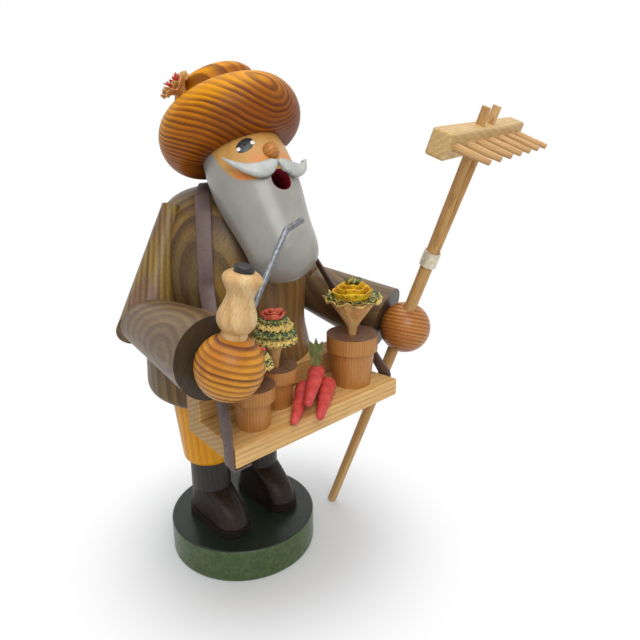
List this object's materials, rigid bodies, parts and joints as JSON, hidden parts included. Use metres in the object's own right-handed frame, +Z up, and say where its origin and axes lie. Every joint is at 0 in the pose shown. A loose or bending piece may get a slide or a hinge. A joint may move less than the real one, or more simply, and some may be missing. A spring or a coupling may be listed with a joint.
{
  "type": "german incense smoker",
  "caption": "Turned wooden incense smoker shaped as a bearded gardener with a round-brimmed hat, pipe, hawker's tray of flowerpots and carrots, and a rake; the body lifts off to light a cone.",
  "frame": {"origin": "middle of the underside of the base disc", "axes": "+Z up, -Y the way the figure faces, -X towards its right hand with the pipe"},
  "size_m": [0.1681, 0.1516, 0.2296],
  "materials": {
    "base_green": "satin",
    "shoe_brown": "satin",
    "hidden_peg": "matte",
    "leg_grey": "satin",
    "trouser_gold": "satin",
    "plug_wood": "matte",
    "dish_metal": "satin",
    "nail_metal": "satin",
    "coat_brown": "satin",
    "head_wood": "satin",
    "nose_wood": "satin",
    "moustache_grey": "satin",
    "hat_pine": "satin",
    "shaving_flower": "matte",
    "pipe_maple": "satin",
    "lid_black": "gloss",
    "stem_aluminium": "satin",
    "strap_mauve": "matte",
    "tray_pine": "satin",
    "pot_wood": "satin",
    "carrot_red": "matte",
    "leaf_green": "matte",
    "ferrule_metal": "satin",
    "tine_wood": "satin"
  },
  "bodies": {
    "stand": {"base_disc": "base_green", "right_shoe": "shoe_brown", "left_shoe": "shoe_brown", "shoe_pegs": "hidden_peg", "right_leg": "leg_grey", "left_leg": "leg_grey", "trousers": "trouser_gold", "chamber_plug": "plug_wood", "incense_dish": "dish_metal", "dish_nail": "nail_metal"},
    "figure": {"back_flower": "shaving_flower", "back_pot": "pot_wood", "carrot_leaf": "leaf_green", "front_flower": "shaving_flower", "front_pot": "pot_wood", "hat": "hat_pine", "hat_flower": "shaving_flower", "hat_peg": "hidden_peg", "head": "head_wood", "large_flower": "shaving_flower", "large_pot": "pot_wood", "left_carrot": "carrot_red", "left_elbow_peg": "hidden_peg", "left_forearm": "coat_brown", "left_hand": "hat_pine", "left_moustache": "moustache_grey", "left_shoulder_peg": "hidden_peg", "left_strap": "strap_mauve", "left_upper_arm": "coat_brown", "left_wrist_peg": "hidden_peg", "neck_peg": "hidden_peg", "nose": "nose_wood", "pipe_bowl": "pipe_maple", "pipe_lid": "lid_black", "pipe_stem": "stem_aluminium", "right_carrot": "carrot_red", "right_elbow_peg": "hidden_peg", "right_forearm": "coat_brown", "right_hand": "hat_pine", "right_moustache": "moustache_grey", "right_shoulder_peg": "hidden_peg", "right_strap": "strap_mauve", "right_upper_arm": "coat_brown", "right_wrist_peg": "hidden_peg", "top_carrot": "carrot_red", "torso": "coat_brown", "tray_board": "tray_pine", "tray_peg": "hidden_peg", "tray_rail": "tray_pine"},
    "rake": {"rake_handle": "tray_pine", "rake_ferrule": "ferrule_metal", "rake_head": "tray_pine", "rake_tines": "tine_wood"}
  },
  "joints": [
    {"name": "body_lift", "type": "slide", "parent": "stand", "child": "figure", "axis": [0, 0, 1], "range_m": [0, 0.06]},
    {"name": "rake_slide", "type": "slide", "parent": "figure", "child": "rake", "axis": [0.0443, -0.3384, 0.94], "range_m": [0, 0.09]}
  ]
}
